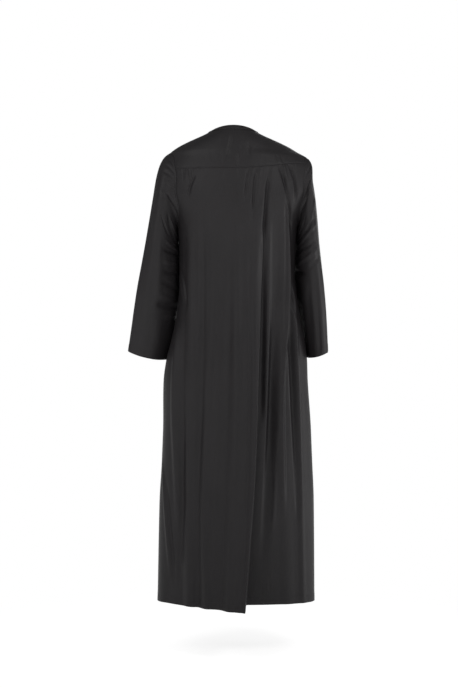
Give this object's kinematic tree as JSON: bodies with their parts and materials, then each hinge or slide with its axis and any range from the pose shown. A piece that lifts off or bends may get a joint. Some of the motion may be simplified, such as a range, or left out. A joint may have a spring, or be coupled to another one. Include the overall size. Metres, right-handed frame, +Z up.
{
  "type": "long-sleeved ankle-length djellaba",
  "caption": "Ankle-length collarless robe hanging as worn, with open neck, long straight sleeves, a yoked and gathered back and one deep fold falling to the hem.",
  "frame": {"origin": "middle of the neck opening, level with the two points where the shoulder seams meet the neckline, where the wearer's neck and shoulders hold the robe up", "axes": "+Z up along the hanging robe, -Y the way the wearer faces, +X to the wearer's left"},
  "size_m": [0.597, 0.4057, 1.4165],
  "materials": {
    "robe_cloth": "smooth charcoal cloth with a soft satin sheen"
  },
  "bodies": {
    "root": {"back_yoke": "robe_cloth", "back_panel": "robe_cloth", "front_panel": "robe_cloth", "front_placket": "robe_cloth", "neck_band": "robe_cloth", "sleeve_left": "robe_cloth", "sleeve_right": "robe_cloth"}
  },
  "joints": []
}
